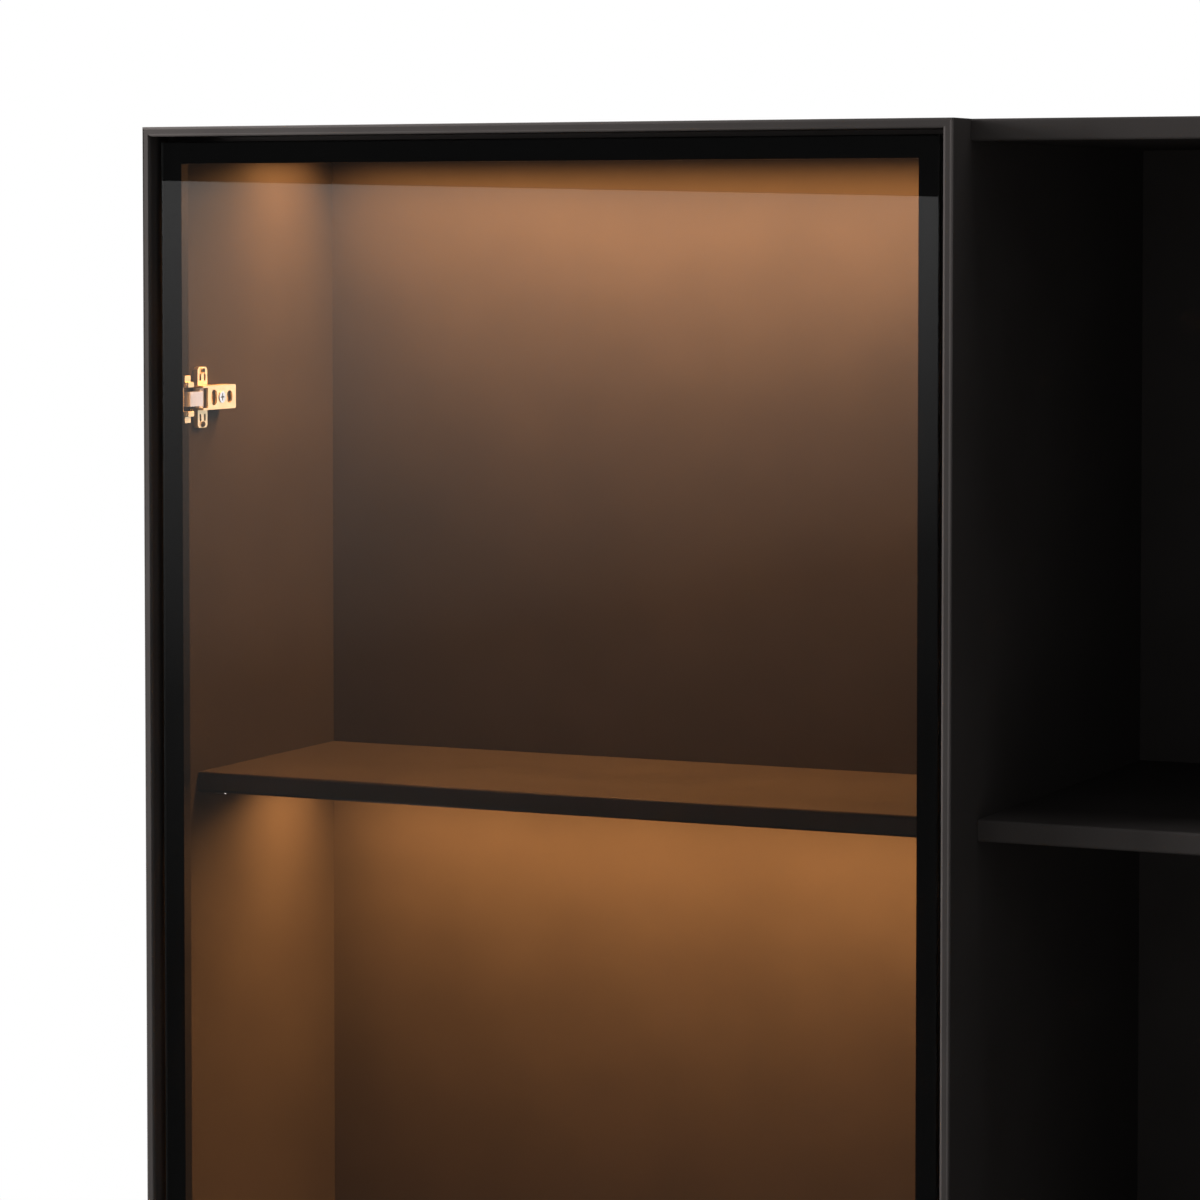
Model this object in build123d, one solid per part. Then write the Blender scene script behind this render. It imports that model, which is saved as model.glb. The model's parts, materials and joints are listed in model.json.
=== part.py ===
from build123d import *
import math
import os

# A free-standing display cabinet: two lit glass-door boxes with an open bay of shelves between them.
# Row frame: X across, Y to the back, Z up, origin on the floor under the middle of the cabinet.
# Most shapes are written in bay coordinates: x from a box's outer face towards the middle of the
# cabinet, y back from the front edges, z up from the floor. The right box is the left one mirrored.

# ---- driving sizes, in millimetres ----
WIDTH, DEPTH, HEIGHT = 2000.0, 450.0, 1600.0
BOX_WIDTH = 670.0            # one glass-door box, outside
BOARD = 16.0                 # lacquered board
BACK = 8.0                   # thin back boards
PLINTH_HEIGHT = 57.0
EDGE_ROUND = 2.0             # rounding of the front edges
NEAR = 0.1                   # how close a picked edge lies to its face

LIP = 7.5                    # thin front edge left in front of the door
REBATE = 28.0                # depth of the rebate that the door lies in
REAR_RABBET = 8.0            # rabbet that the rear panel lies in
GROOVE_DEPTH = 4.0           # groove that holds the display back
DISPLAY_DEPTH = 281.0        # front edge to display back
OPEN_SETBACK = 38.0          # front of the open bay's boards
SHELF_SETBACK = 56.0         # front of every shelf
SHELF_SIDE_GAP = 0.5
SHELF_BACK_GAP = 1.0
ROWS = 3                     # compartments in each bay

DOOR_SIDE_GAP, DOOR_END_GAP = 5.0, 4.0
GLASS_FRONT, GLASS, GLASS_BEVEL = 8.0, 4.0, 0.6
FRAME_FACE, FRAME_DEEP, FRAME_WALL = 17.0, 10.0, 1.5
CLEAT_ARM, CLEAT_FIT = 42.0, 0.1
DOOR_SWING = 95.0            # degrees

HINGE_DROPS = (212.0, 905.0, 1331.0)   # hinge centres below the top
PIVOT = (23.0, 12.0)         # the door's turning axis in a box, as x, y
ARM_PIN = (24.0, 48.0)       # pin in the hinge arm
CUP_PIN_RADIUS = 7.0         # cup pin's distance from the turning axis
PIN, PIN_RUN, ARM_SLOT = 1.25, 0.05, 1.75
LINK_NECK, LINK_EYE, LINK_ARM_EYE = 2.4, 2.5, 3.2
LINK_HALF, LINK_ARM_HALF, LINK_CUP_HALF = 5.75, 7.8, 8.8

LIGHT_FRONT, LIGHT_BACK = 132.0, 258.0  # light panel, from the front edges
LIGHT_END_GAP, LIGHT_DEEP, TRAY_WALL = 10.0, 9.0, 1.2
DIFFUSER, LED_BOARD_WIDE, LED_BOARD = 2.5, 10.0, 1.2

# ---- sizes worked out from them ----
LEFT, FRONT = -WIDTH / 2, -DEPTH / 2
BOX_BOTTOM = PLINTH_HEIGHT
BOX_HEIGHT = HEIGHT - BOX_BOTTOM
INNER_FLOOR, INNER_CEILING = BOX_BOTTOM + BOARD, HEIGHT - BOARD
ROW_CLEAR = (INNER_CEILING - INNER_FLOOR - (ROWS - 1) * BOARD) / ROWS
SHELF_TOPS = [INNER_CEILING - n * ROW_CLEAR - (n - 1) * BOARD for n in range(1, ROWS)]
OPEN_HALF = WIDTH / 2 - BOX_WIDTH
DOOR_X = (LIP + DOOR_SIDE_GAP, BOX_WIDTH - LIP - DOOR_SIDE_GAP)
DOOR_Z = (BOX_BOTTOM + LIP + DOOR_END_GAP, HEIGHT - LIP - DOOR_END_GAP)
FRAME_FRONT = GLASS_FRONT + GLASS
DOOR_BACK = FRAME_FRONT + FRAME_DEEP
HINGE_HEIGHTS = [HEIGHT - drop for drop in HINGE_DROPS]

# The cup pin turns about the door's axis. It is as far from the arm's pin with the door closed as
# with it fully open, so half of the swing lies on each side of the line between the two.
PIVOT_TO_ARM = math.degrees(math.atan2(ARM_PIN[1] - PIVOT[1], ARM_PIN[0] - PIVOT[0]))
CUP_PIN_ANGLE = math.radians(PIVOT_TO_ARM + DOOR_SWING / 2)
CUP_PIN = (
    PIVOT[0] + CUP_PIN_RADIUS * math.cos(CUP_PIN_ANGLE),
    PIVOT[1] + CUP_PIN_RADIUS * math.sin(CUP_PIN_ANGLE),
)
LINK_LENGTH = math.dist(ARM_PIN, CUP_PIN)
LINK_SHORTEST = math.dist(ARM_PIN, PIVOT) - CUP_PIN_RADIUS
HALF_SWING = math.radians(DOOR_SWING / 2)
LINK_SWING = 2 * math.degrees(math.asin(CUP_PIN_RADIUS * math.sin(HALF_SWING) / LINK_LENGTH))
LINK_ON_DOOR = DOOR_SWING + LINK_SWING

written = {}


def save(name, *shapes):
    """Writes one node: every solid of the given shapes, kept apart."""
    solids = [solid for shape in shapes for solid in shape.solids()]
    written[name] = len(solids)
    export_step(Compound(solids), f"parts/{name}.step")


def save_both(name, shape):
    """Writes a piece of the left box and its mirror image in the right one."""
    save("left_" + name, shape)
    save("right_" + name, mirror(shape, about=Plane.YZ))


def both_sides(shapes):
    """The left box's shapes with their mirror images."""
    return shapes + [mirror(shape, about=Plane.YZ) for shape in shapes]


def at(x, y, z):
    """Bay coordinates as a point of the row frame."""
    return (LEFT + x, FRONT + y, z)


def block(x, y, z):
    """A rectangular block between pairs of bay coordinates."""
    size = (x[1] - x[0], y[1] - y[0], z[1] - z[0])
    corner = (Align.MIN, Align.MIN, Align.MIN)
    return Pos(*at(x[0], y[0], z[0])) * Box(*size, align=corner)


def rod(start, direction, radius, length):
    """A round bar from a point in bay coordinates."""
    return extrude(Plane(at(*start), z_dir=direction) * Circle(radius), amount=length)


def plate(sketch, z, half):
    """A flat shape drawn in bay x, y and thickened by half above and below z."""
    return Pos(LEFT, FRONT, z - half) * extrude(sketch, amount=2 * half)


def soften(shape, depth):
    """Rounds the long edges of a board's front face, which lies at the given bay y."""
    face = FRONT + depth
    lengthwise = shape.edges().filter_by(Axis.X)
    return fillet(lengthwise.filter_by_position(Axis.Y, face - NEAR, face + NEAR), EDGE_ROUND)


# ---- the two boxes ----
def box_wall(length):
    """One wall of a box, its outer face at x 0 and its inner face at BOARD, mitred at both ends."""
    outline = [
        (0, 0),
        (LIP, 0),
        (LIP, REBATE),
        (BOARD, REBATE),
        (BOARD, DISPLAY_DEPTH),
        (BOARD - GROOVE_DEPTH, DISPLAY_DEPTH),
        (BOARD - GROOVE_DEPTH, DISPLAY_DEPTH + BACK),
        (BOARD, DISPLAY_DEPTH + BACK),
        (BOARD, DEPTH - BACK),
        (BOARD - REAR_RABBET, DEPTH - BACK),
        (BOARD - REAR_RABBET, DEPTH),
        (0, DEPTH),
    ]
    section = make_face(Polyline(*outline, close=True))
    section = fillet(section.vertices().filter_by_position(Axis.Y, -NEAR, NEAR), EDGE_ROUND)
    mitred = Polyline((0, 0), (BOARD, BOARD), (BOARD, length - BOARD), (0, length), close=True)
    prism = extrude(Plane.XZ * make_face(mitred), amount=-DEPTH)
    return extrude(section, amount=length) & prism


def make_box():
    """The four walls and two backs of the left box, each with its mirror image."""
    turned = Rot(0, 90, 0) * box_wall(BOX_WIDTH)
    walls = {
        "outer_side": Pos(LEFT, FRONT, BOX_BOTTOM) * box_wall(BOX_HEIGHT),
        "inner_side": Pos(LEFT + BOX_WIDTH, FRONT, BOX_BOTTOM)
        * mirror(box_wall(BOX_HEIGHT), about=Plane.YZ),
        "top": Pos(LEFT, FRONT, HEIGHT) * turned,
        "bottom": Pos(LEFT, FRONT, BOX_BOTTOM) * mirror(turned, about=Plane.XY),
    }
    for side in ("outer_side", "inner_side"):
        for hole in shelf_pin_shapes() + rear_screws() + hinge_screw_shafts() + dowel_shapes():
            walls[side] -= hole
    for end in ("top", "bottom"):
        for hole in rear_screws() + dowel_shapes():
            walls[end] -= hole
    walls["top"] -= light_recess(INNER_CEILING)
    for name, wall in walls.items():
        save_both(name, wall)

    inset = BOARD - GROOVE_DEPTH
    reach = (inset, BOX_WIDTH - inset)
    rise = (BOX_BOTTOM + inset, HEIGHT - inset)
    save_both("display_back", block(reach, (DISPLAY_DEPTH, DISPLAY_DEPTH + BACK), rise))

    inset = BOARD - REAR_RABBET
    reach = (inset, BOX_WIDTH - inset)
    rise = (BOX_BOTTOM + inset, HEIGHT - inset)
    rear = block(reach, (DEPTH - BACK, DEPTH), rise)
    rear -= rod((CABLE_HOLE_X, DEPTH - BACK, CABLE_HOLE_Z), (0, 1, 0), CABLE_HOLE, BACK)
    for screw in rear_screws():
        rear -= screw
    save_both("rear_panel", rear)


# ---- the open bay ----
def open_board(z, back):
    """A board of the open bay, between the two boxes, from its setback to the given depth."""
    reach = (BOX_WIDTH, BOX_WIDTH + 2 * OPEN_HALF)
    return soften(block(reach, (OPEN_SETBACK, back), z), OPEN_SETBACK)


def make_open_bay():
    back = DEPTH - BACK
    boards = {
        "centre_top": open_board((INNER_CEILING, HEIGHT), back),
        "centre_bottom": open_board((BOX_BOTTOM, INNER_FLOOR), back),
    }
    panel = block((BOX_WIDTH, BOX_WIDTH + 2 * OPEN_HALF), (back, DEPTH), (BOX_BOTTOM, HEIGHT))
    for screw in centre_screws():
        panel -= screw
        for name in boards:
            boards[name] -= screw
    for dowel in both_sides(dowel_shapes()):
        for name in boards:
            boards[name] -= dowel
    for name, board in boards.items():
        save(name, board)
    save("centre_back", panel)
    save("dowels", *both_sides(dowel_shapes()))


DOWEL, DOWEL_IN_WALL, DOWEL_IN_BOARD = 4.0, 10.0, 20.0
DOWEL_DEPTHS = (80.0, 240.0, 400.0)


def dowel_shapes():
    """Dowels that join the open bay's top and bottom to the left box."""
    length = DOWEL_IN_WALL + DOWEL_IN_BOARD
    start = BOX_WIDTH - DOWEL_IN_WALL
    heights = ((BOX_BOTTOM + INNER_FLOOR) / 2, (INNER_CEILING + HEIGHT) / 2)
    return [rod((start, y, z), (1, 0, 0), DOWEL, length) for y in DOWEL_DEPTHS for z in heights]


# ---- shelves, their pins and the light panels ----
SHELF_PIN, SHELF_PIN_IN, SHELF_PIN_OUT = 2.5, 7.5, 8.0
DISPLAY_PIN_DEPTHS, OPEN_PIN_DEPTHS = (86.0, 268.0), (110.0, 400.0)


def shelf_pin_shapes():
    """Pins under the shelves of the left box and under the open bay's left ends."""
    length = SHELF_PIN_IN + SHELF_PIN_OUT
    pins = []
    for top in SHELF_TOPS:
        z = top - BOARD - SHELF_PIN
        for y in DISPLAY_PIN_DEPTHS:
            pins.append(rod((BOARD - SHELF_PIN_IN, y, z), (1, 0, 0), SHELF_PIN, length))
            pins.append(rod((BOX_WIDTH - BOARD + SHELF_PIN_IN, y, z), (-1, 0, 0), SHELF_PIN, length))
        for y in OPEN_PIN_DEPTHS:
            pins.append(rod((BOX_WIDTH - SHELF_PIN_IN, y, z), (1, 0, 0), SHELF_PIN, length))
    return pins


LIGHT_X = (BOARD + LIGHT_END_GAP, BOX_WIDTH - BOARD - LIGHT_END_GAP)


def light_recess(underside):
    """The pocket in a board's underside that a light panel fills."""
    return block(LIGHT_X, (LIGHT_FRONT, LIGHT_BACK), (underside, underside + LIGHT_DEEP))


def light_panel(underside):
    """An aluminium tray, three LED boards on its floor and the opal plate that closes it."""
    inside_x = (LIGHT_X[0] + TRAY_WALL, LIGHT_X[1] - TRAY_WALL)
    inside_y = (LIGHT_FRONT + TRAY_WALL, LIGHT_BACK - TRAY_WALL)
    tray_floor = underside + LIGHT_DEEP - TRAY_WALL
    tray = light_recess(underside) - block(inside_x, inside_y, (underside, tray_floor))
    opal = block(inside_x, inside_y, (underside, underside + DIFFUSER))
    rows = []
    for share in (0.2, 0.5, 0.8):
        middle = LIGHT_FRONT + share * (LIGHT_BACK - LIGHT_FRONT)
        wide = (middle - LED_BOARD_WIDE / 2, middle + LED_BOARD_WIDE / 2)
        rows.append(block(inside_x, wide, (tray_floor - LED_BOARD, tray_floor)))
    return tray, rows, opal


def make_shelves():
    reach = (BOARD + SHELF_SIDE_GAP, BOX_WIDTH - BOARD - SHELF_SIDE_GAP)
    display = (SHELF_SETBACK, DISPLAY_DEPTH - SHELF_BACK_GAP)
    open_reach = (BOX_WIDTH + SHELF_SIDE_GAP, BOX_WIDTH + 2 * OPEN_HALF - SHELF_SIDE_GAP)
    open_deep = (SHELF_SETBACK, DEPTH - BACK - SHELF_BACK_GAP)
    for name, top in zip(("upper_shelf", "lower_shelf"), SHELF_TOPS):
        thick = (top - BOARD, top)
        shelf = soften(block(reach, display, thick), SHELF_SETBACK)
        save_both(name, shelf - light_recess(top - BOARD))
        save("centre_" + name, soften(block(open_reach, open_deep, thick), SHELF_SETBACK))
    save("shelf_pins", *both_sides(shelf_pin_shapes()))

    trays, boards, opals = [], [], []
    for underside in [INNER_CEILING] + [top - BOARD for top in SHELF_TOPS]:
        tray, rows, opal = light_panel(underside)
        trays.append(tray)
        boards.extend(rows)
        opals.append(opal)
    save("led_trays", *both_sides(trays))
    save("led_boards", *both_sides(boards))
    save("led_diffusers", *both_sides(opals))


# ---- LED drivers, behind the display backs ----
DRIVER_X, DRIVER_Y, DRIVER_HIGH = (70.0, 240.0), (330.0, 382.0), 30.0
DRIVER_FOOT, DRIVER_FOOT_HIGH, DRIVER_FOOT_INSET, DRIVER_FOOT_HOLE = 14.0, 3.0, 10.0, 2.2
DRIVER_ROUND = 3.0
MAINS_HALF, MAINS_DEEP, MAINS_RISE = 9.0, 8.0, (10.0, 22.0)
CABLE_HOLE_X, CABLE_HOLE_Z, CABLE_HOLE = 155.0, 100.0, 14.0


def make_drivers():
    """A closed power supply with a mounting foot at each end and a mains socket at the back."""
    case = block(DRIVER_X, DRIVER_Y, (INNER_FLOOR, INNER_FLOOR + DRIVER_HIGH))
    case = fillet(case.edges().filter_by(Axis.Z), DRIVER_ROUND)
    feet_x = (DRIVER_X[0] - DRIVER_FOOT, DRIVER_X[1] + DRIVER_FOOT)
    feet_y = (DRIVER_Y[0] + DRIVER_FOOT_INSET, DRIVER_Y[1] - DRIVER_FOOT_INSET)
    feet = block(feet_x, feet_y, (INNER_FLOOR, INNER_FLOOR + DRIVER_FOOT_HIGH))
    for x in (feet_x[0] + DRIVER_FOOT / 2, feet_x[1] - DRIVER_FOOT / 2):
        feet -= rod((x, sum(DRIVER_Y) / 2, INNER_FLOOR), (0, 0, 1), DRIVER_FOOT_HOLE, DRIVER_FOOT_HIGH)
    socket_x = (CABLE_HOLE_X - MAINS_HALF, CABLE_HOLE_X + MAINS_HALF)
    socket_z = (INNER_FLOOR + MAINS_RISE[0], INNER_FLOOR + MAINS_RISE[1])
    socket = block(socket_x, (DRIVER_Y[1] - MAINS_DEEP, DRIVER_Y[1]), socket_z)
    save("led_drivers", *both_sides([case + feet - socket]))


# ---- plinth and feet ----
PLINTH_X, PLINTH_FRONT, PLINTH_BACK, PLINTH_LIFT = 40.0, 60.0, 426.0, 10.0
CROSS_RAIL_X = (40.0, 662.0)         # each cross rail's outer face, and its mirror image
FOOT_X, FOOT_Y = (100.0, 640.0), (110.0, 376.0)
SOCKET, SOCKET_LOW, STEM, PAD, PAD_HIGH, PAD_ROUND = 15.0, 25.0, 5.0, 21.0, 7.0, 1.5
STEM_RUN, STEM_END_GAP = 0.05, 2.0


def make_plinth():
    reach = (PLINTH_X, WIDTH - PLINTH_X)
    rise = (PLINTH_LIFT, PLINTH_HEIGHT)
    front = block(reach, (PLINTH_FRONT, PLINTH_FRONT + BOARD), rise)
    rear = block(reach, (PLINTH_BACK - BOARD, PLINTH_BACK), rise)
    between = (PLINTH_FRONT + BOARD, PLINTH_BACK - BOARD)
    cross = [block((x, x + BOARD), between, rise) for x in CROSS_RAIL_X]
    save("plinth_rails", front, rear)
    save("plinth_cross_rails", *both_sides(cross))

    sockets, feet = [], []
    for x in FOOT_X:
        for y in FOOT_Y:
            socket = rod((x, y, SOCKET_LOW), (0, 0, 1), SOCKET, PLINTH_HEIGHT - SOCKET_LOW)
            sockets.append(socket - rod((x, y, SOCKET_LOW), (0, 0, 1), STEM + STEM_RUN, PLINTH_HEIGHT))
            pad = rod((x, y, 0), (0, 0, 1), PAD, PAD_HIGH)
            pad = chamfer(pad.edges().group_by(Axis.Z)[-1], PAD_ROUND)
            stem = rod((x, y, PAD_HIGH), (0, 0, 1), STEM, PLINTH_HEIGHT - PAD_HIGH - STEM_END_GAP)
            feet.append(pad + stem)
    save("foot_sockets", *both_sides(sockets))
    save("levelling_feet", *both_sides(feet))


# ---- doors ----
def frame_bar(across, upright):
    """One mitred hollow bar of the door frame: its four outline corners and its straight tunnel."""
    prism = extrude(Plane.XZ * make_face(Polyline(*across, close=True)), amount=-FRAME_DEEP)
    return Pos(LEFT, FRONT + FRAME_FRONT, 0) * prism - upright


def make_door():
    (x0, x1), (z0, z1) = DOOR_X, DOOR_Z
    glass = block(DOOR_X, (GLASS_FRONT, FRAME_FRONT), DOOR_Z)
    save_both("door_glass", chamfer(glass.edges(), GLASS_BEVEL))

    tunnel_y = (FRAME_FRONT + FRAME_WALL, DOOR_BACK - FRAME_WALL)
    face, wall = FRAME_FACE, FRAME_WALL

    def upright(x):
        return block((x + wall, x + face - wall), tunnel_y, DOOR_Z)

    def lengthwise(z):
        return block(DOOR_X, tunnel_y, (z + wall, z + face - wall))

    stile = frame_bar([(x0, z0), (x0 + face, z0 + face), (x0 + face, z1 - face), (x0, z1)], upright(x0))
    for z in HINGE_HEIGHTS:
        stile -= cup_pocket(z)
    save_both("door_hinge_stile", stile)
    free = frame_bar([(x1, z0), (x1 - face, z0 + face), (x1 - face, z1 - face), (x1, z1)], upright(x1 - face))
    save_both("door_free_stile", free)
    top = frame_bar([(x0, z1), (x0 + face, z1 - face), (x1 - face, z1 - face), (x1, z1)], lengthwise(z1 - face))
    save_both("door_top_rail", top)
    low = frame_bar([(x0, z0), (x0 + face, z0 + face), (x1 - face, z0 + face), (x1, z0)], lengthwise(z0))
    save_both("door_bottom_rail", low)

    gap = wall + CLEAT_FIT
    cleat_y = (tunnel_y[0] + CLEAT_FIT, tunnel_y[1] - CLEAT_FIT)
    cleats = []
    for left in (True, False):
        for high in (False, True):
            long_x = (x0 + gap, x0 + CLEAT_ARM) if left else (x1 - CLEAT_ARM, x1 - gap)
            short_x = (x0 + gap, x0 + face - gap) if left else (x1 - face + gap, x1 - gap)
            long_z = (z1 - CLEAT_ARM, z1 - gap) if high else (z0 + gap, z0 + CLEAT_ARM)
            short_z = (z1 - face + gap, z1 - gap) if high else (z0 + gap, z0 + face - gap)
            cleats.append(block(long_x, cleat_y, short_z) + block(short_x, cleat_y, long_z))
    save_both("door_corner_cleats", Compound([cleat.solid() for cleat in cleats]))


# ---- hinges ----
CUP_X, CUP_LUG_X = (14.0, 29.5), 34.0
CUP_FRONT, CUP_BACK = 13.6, 22.6
CUP_CHEEK = (9.4, 13.5)
CUP_FLOOR = 0.6
POCKET_FIT = 0.1
EAR, EAR_HIGH = 1.4, 5.0
LUG_WINDOW = ((30.4, 32.9), 3.0)
LINK_BENDS = (5.0, 3.0)
EYE_SPARE = 0.4
WING_Y, WING_HALF, WING = (51.5, 66.5), 24.0, 4.2
WING_CORNER = 2.0
WING_SLOT_DROP, WING_SLOTS, WING_SLOT_RUN, WING_SLOT_WIDE = 16.0, (55.6, 62.4), 3.2, 2.8
PLATE_Y, PLATE_HALF, PLATE_TOP = (56.0, 90.0), 7.8, 27.0
ARM_X, ARM_NOSE, ARM_END, ARM_HALF, ARM_WALL = (18.0, 30.0), 43.5, 94.5, 9.5, 1.5
ARM_TOP_START, ARM_ROUND, ARM_FIT = 50.8, 1.5, 0.3
ARM_FRONT_SLOT, ARM_REAR_SLOT = ((56.3, 64.8), 6.2), ((80.3, 89.0), 4.8)
ADJUSTER_Y, ADJUSTER, ADJUSTER_PROUD = 72.5, 4.6, 0.6
CROSS_DEEP, CROSS_HALF, CROSS_WIDE = 1.6, 2.8, 0.55   # the cross recess
SCREW_SHANK, SCREW_HEAD, SCREW_HEAD_HIGH, SCREW_IN, SCREW_DROP = 1.4, 2.4, 1.4, 13.0, 21.2


def cup_pocket(z):
    """The opening in the hinge stile that a hinge cup fills."""
    wide = (CUP_X[0] - POCKET_FIT, DOOR_X[0] + FRAME_FACE)
    half = CUP_CHEEK[1] + POCKET_FIT
    return block(wide, (CUP_FRONT - POCKET_FIT, DOOR_BACK), (z - half, z + half))


def hinge_cup(z):
    """Two cheeks on a thin floor, each ending in a lug with a screw window past the stile."""
    cup = block(CUP_X, (CUP_FRONT, CUP_FRONT + CUP_FLOOR), (z - CUP_CHEEK[1], z + CUP_CHEEK[1]))
    for side in (-1, 1):
        cheek_z = sorted((z + side * CUP_CHEEK[0], z + side * CUP_CHEEK[1]))
        cup += block((CUP_X[0], CUP_LUG_X), (CUP_FRONT, CUP_BACK), cheek_z)
        middle = sum(cheek_z) / 2
        window_z = (middle - LUG_WINDOW[1] / 2, middle + LUG_WINDOW[1] / 2)
        cup -= block(LUG_WINDOW[0], (CUP_FRONT, CUP_BACK), window_z)
        cup += cup_ear(z, side)
    return cup - rod((*CUP_PIN, z - CUP_CHEEK[1]), (0, 0, 1), PIN, 2 * CUP_CHEEK[1])


def cup_ear(z, side):
    """The ear above or below the lug, which lies against the inside of the stile."""
    rise = sorted((z + side * CUP_CHEEK[1], z + side * (CUP_CHEEK[1] + EAR_HIGH)))
    stile = DOOR_X[0] + FRAME_FACE
    return block((stile, stile + EAR), (CUP_FRONT, CUP_BACK), rise)


def link_sketch():
    """The crooked link's middle line in bay x, y with the door closed."""
    out_of_arm, round_stile = (32.6, 37.0), (31.0, 17.1)
    path = FilletPolyline(ARM_PIN, out_of_arm, round_stile, CUP_PIN, radius=LINK_BENDS)
    return trace(path, line_width=LINK_NECK)


def hinge_link(z):
    """The link between cup and arm: a round eye on the cup pin and a slotted eye on the arm pin."""
    link = plate(link_sketch(), z, LINK_HALF)
    link += plate(Pos(*CUP_PIN) * Circle(LINK_EYE), z, LINK_CUP_HALF)
    reach = Vector(*ARM_PIN) - Vector(*CUP_PIN)
    slack = LINK_LENGTH - LINK_SHORTEST
    middle = Vector(*CUP_PIN) + reach.normalized() * (LINK_LENGTH + LINK_SHORTEST) / 2
    turn = math.degrees(math.atan2(reach.Y, reach.X))
    slot_place = Pos(middle.X, middle.Y) * Rot(0, 0, turn)
    link += plate(slot_place * SlotCenterToCenter(slack + EYE_SPARE, 2 * LINK_ARM_EYE), z, LINK_ARM_HALF)
    link -= plate(slot_place * SlotCenterToCenter(slack + EYE_SPARE, 2 * ARM_SLOT), z, LINK_CUP_HALF)
    return link - plate(Pos(*CUP_PIN) * Circle(PIN + PIN_RUN), z, LINK_CUP_HALF)


def wing_slot(y, z):
    """A small upright slot through a wing of the mounting plate."""
    face = Plane(at(BOARD, y, z), x_dir=(0, 0, 1), z_dir=(1, 0, 0))
    return extrude(face * SlotCenterToCenter(WING_SLOT_RUN, WING_SLOT_WIDE), amount=WING)


def hinge_plate(z):
    """The cross-shaped plate on the box side: two slotted wings and the raised middle under the arm."""
    wings = block((BOARD, BOARD + WING), WING_Y, (z - WING_HALF, z + WING_HALF))
    wings = chamfer(wings.edges().filter_by(Axis.X), WING_CORNER)
    for drop in (-WING_SLOT_DROP, WING_SLOT_DROP):
        for y in WING_SLOTS:
            wings -= wing_slot(y, z + drop)
    hub = block((BOARD, PLATE_TOP), PLATE_Y, (z - PLATE_HALF, z + PLATE_HALF))
    hub -= rod((BOARD, ADJUSTER_Y, z), (1, 0, 0), ADJUSTER, PLATE_TOP)
    return wings + hub


def hinge_arm(z):
    """A channel clipped over the plate, open to the box side, whose bare cheeks hold the arm pin."""
    arm = block(ARM_X, (ARM_NOSE, ARM_END), (z - ARM_HALF, z + ARM_HALF))
    inside_z = (z - ARM_HALF + ARM_WALL, z + ARM_HALF - ARM_WALL)
    arm -= block((ARM_X[0], ARM_X[1] - ARM_WALL), (ARM_NOSE, ARM_END - ARM_WALL), inside_z)
    arm -= block(ARM_X, (ARM_NOSE, ARM_TOP_START), inside_z)
    arm = fillet(arm.edges().filter_by(Axis.X).group_by(Axis.Y)[-1], ARM_ROUND)
    over_wings = (WING_Y[0] - ARM_FIT, WING_Y[1] + ARM_FIT)
    arm -= block((ARM_X[0], BOARD + WING + ARM_FIT), over_wings, (z - ARM_HALF, z + ARM_HALF))
    for span, half in (ARM_FRONT_SLOT, ARM_REAR_SLOT):
        face = Plane(at(ARM_X[1] - ARM_WALL, sum(span) / 2, z), x_dir=(0, 0, 1), z_dir=(1, 0, 0))
        width = span[1] - span[0]
        arm -= extrude(face * SlotCenterToCenter(max(2 * half - width, 1.0), width), amount=ARM_WALL)
    arm -= rod((BOARD, ADJUSTER_Y, z), (1, 0, 0), ADJUSTER, ARM_X[1])
    return arm - rod((*ARM_PIN, z - ARM_HALF), (0, 0, 1), PIN, 2 * ARM_HALF)


def adjuster(z):
    """The cam screw through arm and plate, with a cross recess."""
    top = ARM_X[1] + ADJUSTER_PROUD
    screw = rod((BOARD, ADJUSTER_Y, z), (1, 0, 0), ADJUSTER, top - BOARD)
    deep = (top - CROSS_DEEP, top)
    long_y, short_y = [(ADJUSTER_Y - half, ADJUSTER_Y + half) for half in (CROSS_HALF, CROSS_WIDE)]
    long_z, short_z = [(z - half, z + half) for half in (CROSS_HALF, CROSS_WIDE)]
    across = block(deep, long_y, short_z)
    upright = block(deep, short_y, long_z)
    return screw - across - upright


def hinge_screw_shafts():
    """Wood screws through the middle of each wing into the box side."""
    start = BOARD - SCREW_IN
    middle = sum(WING_Y) / 2
    return [
        rod((start, middle, z + drop), (1, 0, 0), SCREW_SHANK, SCREW_IN + WING)
        for z in HINGE_HEIGHTS
        for drop in (-SCREW_DROP, SCREW_DROP)
    ]


def make_hinges():
    plates, arms, arm_pins, screws, adjusters = [], [], [], [], []
    cups, cup_pins, links = [], [], []
    shafts = hinge_screw_shafts()
    for shaft in shafts:
        under_head = Plane((LEFT + BOARD + WING, shaft.center().Y, shaft.center().Z), z_dir=(1, 0, 0))
        screws.append(shaft + extrude(under_head * Circle(SCREW_HEAD), amount=SCREW_HEAD_HIGH))
    for z in HINGE_HEIGHTS:
        base = hinge_plate(z)
        for shaft in shafts:
            base -= shaft
        plates.append(base)
        arms.append(hinge_arm(z))
        arm_pins.append(rod((*ARM_PIN, z - ARM_HALF), (0, 0, 1), PIN, 2 * ARM_HALF))
        adjusters.append(adjuster(z))
        cups.append(hinge_cup(z))
        cup_pins.append(rod((*CUP_PIN, z - CUP_CHEEK[1]), (0, 0, 1), PIN, 2 * CUP_CHEEK[1]))
        links.append(hinge_link(z))
    save("hinge_plates", *both_sides(plates))
    save("hinge_arms", *both_sides(arms))
    save("hinge_arm_pins", *both_sides(arm_pins))
    save("hinge_plate_screws", *both_sides(screws))
    save("hinge_adjusters", *both_sides(adjusters))
    for name, pieces in (("hinge_cups", cups), ("hinge_cup_pins", cup_pins), ("hinge_links", links)):
        save("left_" + name, *pieces)
        save("right_" + name, *[mirror(piece, about=Plane.YZ) for piece in pieces])


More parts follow.
